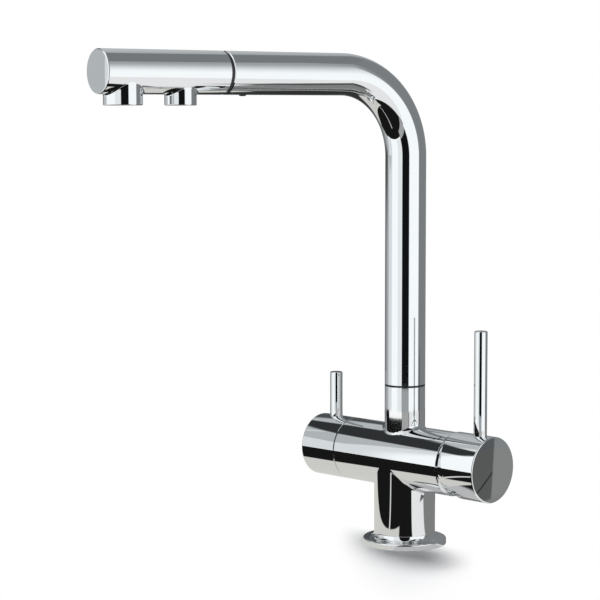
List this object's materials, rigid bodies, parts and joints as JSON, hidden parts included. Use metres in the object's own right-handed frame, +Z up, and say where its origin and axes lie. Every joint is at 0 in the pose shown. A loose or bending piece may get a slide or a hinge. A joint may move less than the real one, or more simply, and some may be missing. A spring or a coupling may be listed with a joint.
{
  "type": "three way filtered water kitchen tap",
  "caption": "Deck-mounted L-spout kitchen mixer with a horizontal barrel body, a hot and cold lever on one end, a filtered water lever on the other, and a pull-out head with separate outlets.",
  "frame": {"origin": "centre of the tap hole at the worktop's top face, under the column", "axes": "+Z up along the column and riser; +X along the barrel towards the mixer lever; -Y to the front, where the spout reaches (stored turned 10.1 degrees towards the filter lever)"},
  "size_m": [0.1576, 0.268, 0.4157],
  "materials": {
    "chrome": "mirror-bright chrome plate on brass",
    "brass": "turned, unplated",
    "steel": "turned stainless steel",
    "black_rubber": "matt moulded rubber",
    "black_plastic": "smooth black acetal",
    "grey_plastic": "moulded grey plastic",
    "white_plastic": "moulded white acetal",
    "bush_plastic": "moulded bearing plastic",
    "ceramic": "polished ceramic, lapped faces",
    "hose_braid": "rubber hose in grey nylon braid",
    "filter_tube": "smooth food-grade tube"
  },
  "bodies": {
    "tap_body": {"body_casting": "chrome", "base_flange": "chrome", "base_gasket": "black_rubber", "threaded_shank": "brass", "rubber_washer": "black_rubber", "steel_washer": "steel", "mounting_nut": "brass", "swivel_glide_ring": "black_plastic", "spout_stop_screw": "steel", "cartridge_base": "white_plastic", "cartridge_base_seals": "black_rubber", "cartridge_housing": "white_plastic", "cartridge_fixed_disc": "ceramic", "cartridge_nut": "brass", "ball_cover": "chrome", "filter_valve_housing": "brass", "filter_valve_seal": "black_rubber", "filter_seat_disc": "ceramic", "hose_base": "hose_braid", "filtered_tube_base": "filter_tube", "hose_end_ferrule": "brass"},
    "spout": {"spout_tube": "chrome", "swivel_bush": "bush_plastic", "swivel_seals": "black_rubber", "docking_sleeve": "black_plastic", "docking_screw": "black_plastic", "hose_riser": "hose_braid", "filtered_tube_riser": "filter_tube"},
    "head": {"head_shell": "chrome", "head_waterway": "grey_plastic", "head_tail_seal": "black_rubber", "hose_nut": "brass", "check_valve": "white_plastic", "main_aerator_housing": "grey_plastic", "main_aerator_insert": "grey_plastic", "main_aerator_washer": "black_rubber", "filter_aerator_housing": "grey_plastic", "filter_aerator_insert": "grey_plastic", "filter_aerator_washer": "black_rubber", "hose_arm": "hose_braid", "filtered_tube_arm": "filter_tube"},
    "mixer_carrier": {"cartridge_carrier": "white_plastic", "carrier_seal": "black_rubber", "tilt_pin": "steel"},
    "mixer_disc": {"disc_driver": "white_plastic", "cartridge_moving_disc": "ceramic"},
    "mixer_handle": {"mixer_stem": "steel", "mixer_cap": "chrome", "mixer_lever": "chrome", "mixer_grub_screw": "steel"},
    "filter_handle": {"filter_spindle": "brass", "filter_turning_disc": "ceramic", "filter_spindle_seal": "black_rubber", "filter_cap": "chrome", "filter_lever": "chrome", "filter_grub_screw": "steel"}
  },
  "joints": [
    {"name": "spout_swivel", "type": "hinge", "parent": "tap_body", "child": "spout", "pos_m": [0, 0, 0.1104], "axis": [0, 0, 1], "range_deg": [-59.9, 80.1]},
    {"name": "head_pull", "type": "slide", "parent": "spout", "child": "head", "axis": [-0.1754, -0.9845, 0], "range_m": [0, 0.08]},
    {"name": "mixer_turn", "type": "hinge", "parent": "tap_body", "child": "mixer_carrier", "pos_m": [0, 0, 0.0607], "axis": [1, 0, 0], "range_deg": [-45, 45]},
    {"name": "mixer_tilt", "type": "hinge", "parent": "mixer_carrier", "child": "mixer_handle", "pos_m": [0.0518, 0, 0.0607], "axis": [0, 1, 0], "range_deg": [0, 25]},
    {"name": "disc_slide", "type": "slide", "parent": "mixer_carrier", "child": "mixer_disc", "axis": [0, 0, 1], "range_m": [0, 0.0036]},
    {"name": "filter_turn", "type": "hinge", "parent": "tap_body", "child": "filter_handle", "pos_m": [0, 0, 0.0607], "axis": [1, 0, 0], "range_deg": [0, 90]}
  ],
  "couplings": [
    {"joint": "disc_slide", "follows": "mixer_tilt", "m_per_rad": 0.00785}
  ]
}
